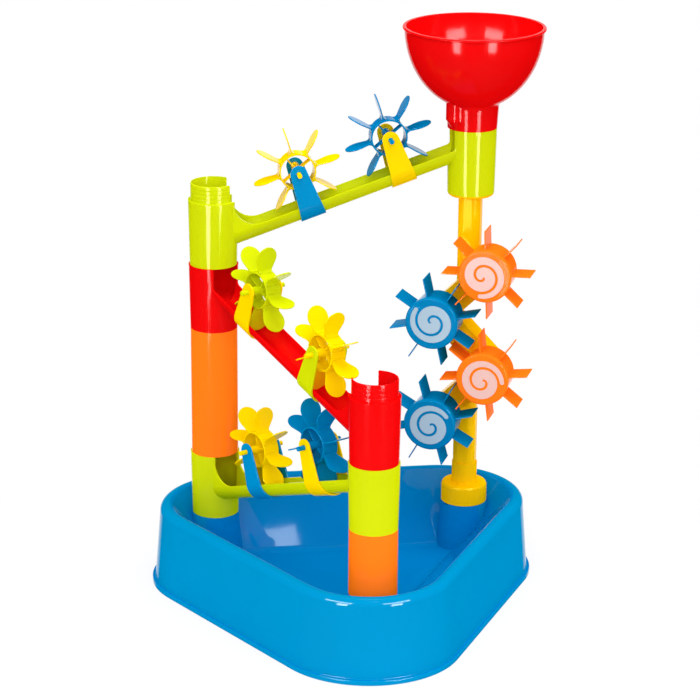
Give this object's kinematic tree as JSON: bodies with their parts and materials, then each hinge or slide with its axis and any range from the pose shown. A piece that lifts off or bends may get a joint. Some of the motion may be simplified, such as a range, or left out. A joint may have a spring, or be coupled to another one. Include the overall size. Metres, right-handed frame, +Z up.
{
  "type": "water table",
  "caption": "Free-standing water play table: triangular basin, tube posts, sloping chutes with paddle wheels on clips, a funnel, and a zig-zag tower of vaned wheels.",
  "frame": {"origin": "on the ground, under the middle of the bounding box", "axes": "+Z up; +X from the left post to the right post with the funnel; -Y towards the front post"},
  "size_m": [0.4196, 0.3859, 0.6],
  "materials": {
    "tray_blue": "gloss",
    "lime": "gloss",
    "red": "gloss",
    "orange": "gloss",
    "yellow": "gloss",
    "column_yellow": "gloss",
    "wheel_blue": "gloss",
    "label_rose": "satin print",
    "label_grey": "satin print"
  },
  "bodies": {
    "table": {"tray": "tray_blue", "left_tube_lower": "orange", "left_tube_upper": "orange", "front_tube": "orange", "upper_chute": "lime", "middle_chute": "red", "lower_chute": "lime", "funnel": "red", "column_foot": "column_yellow", "zigzag_tower": "column_yellow", "column_head": "column_yellow", "upper_clip_low": "wheel_blue", "upper_clip_high": "yellow", "middle_clip_low": "lime", "middle_clip_high": "yellow", "lower_clip_low": "wheel_blue", "lower_clip_high": "yellow"},
    "upper_low_paddle_wheel": {"upper_wheel_low": "yellow"},
    "upper_high_paddle_wheel": {"upper_wheel_high": "wheel_blue"},
    "middle_low_paddle_wheel": {"middle_wheel_low": "yellow"},
    "middle_high_paddle_wheel": {"middle_wheel_high": "lime"},
    "lower_low_paddle_wheel": {"lower_wheel_low": "yellow"},
    "lower_high_paddle_wheel": {"lower_wheel_high": "wheel_blue"},
    "spiral_wheel_body_1": {"spiral_wheel_1": "orange", "spiral_label_1": "label_rose"},
    "spiral_wheel_body_2": {"spiral_wheel_2": "wheel_blue", "spiral_label_2": "label_grey"},
    "spiral_wheel_body_3": {"spiral_wheel_3": "orange", "spiral_label_3": "label_rose"},
    "spiral_wheel_body_4": {"spiral_wheel_4": "wheel_blue", "spiral_label_4": "label_grey"}
  },
  "joints": [
    {"name": "upper_wheel_low_spin", "type": "hinge", "parent": "table", "child": "upper_low_paddle_wheel", "pos_m": [-0.05086, 0.11064, 0.45147], "axis": [0, 1, 0], "continuous": true},
    {"name": "upper_wheel_high_spin", "type": "hinge", "parent": "table", "child": "upper_high_paddle_wheel", "pos_m": [0.04537, 0.11064, 0.48541], "axis": [0, 1, 0], "continuous": true},
    {"name": "middle_wheel_low_spin", "type": "hinge", "parent": "table", "child": "middle_low_paddle_wheel", "pos_m": [-0.04117, -0.05914, 0.30782], "axis": [-0.866, -0.5, 0], "continuous": true},
    {"name": "middle_wheel_high_spin", "type": "hinge", "parent": "table", "child": "middle_high_paddle_wheel", "pos_m": [-0.09542, 0.03482, 0.34608], "axis": [-0.866, -0.5, 0], "continuous": true},
    {"name": "lower_wheel_low_spin", "type": "hinge", "parent": "table", "child": "lower_low_paddle_wheel", "pos_m": [-0.09739, 0.03823, 0.16981], "axis": [0.866, 0.5, 0], "continuous": true},
    {"name": "lower_wheel_high_spin", "type": "hinge", "parent": "table", "child": "lower_high_paddle_wheel", "pos_m": [-0.04738, -0.04837, 0.20508], "axis": [0.866, 0.5, 0], "continuous": true},
    {"name": "spiral_wheel_1_spin", "type": "hinge", "parent": "table", "child": "spiral_wheel_body_1", "pos_m": [0.15506, 0.08631, 0.345], "axis": [-0.4067, -0.9135, 0], "continuous": true},
    {"name": "spiral_wheel_2_spin", "type": "hinge", "parent": "table", "child": "spiral_wheel_body_2", "pos_m": [0.10317, 0.10941, 0.2878], "axis": [-0.4067, -0.9135, 0], "continuous": true},
    {"name": "spiral_wheel_3_spin", "type": "hinge", "parent": "table", "child": "spiral_wheel_body_3", "pos_m": [0.15506, 0.08631, 0.2306], "axis": [-0.4067, -0.9135, 0], "continuous": true},
    {"name": "spiral_wheel_4_spin", "type": "hinge", "parent": "table", "child": "spiral_wheel_body_4", "pos_m": [0.10317, 0.10941, 0.1734], "axis": [-0.4067, -0.9135, 0], "continuous": true}
  ],
  "couplings": [
    {"joint": "spiral_wheel_2_spin", "follows": "spiral_wheel_1_spin", "ratio": -1},
    {"joint": "spiral_wheel_3_spin", "follows": "spiral_wheel_1_spin", "ratio": 1},
    {"joint": "spiral_wheel_4_spin", "follows": "spiral_wheel_1_spin", "ratio": -1}
  ]
}
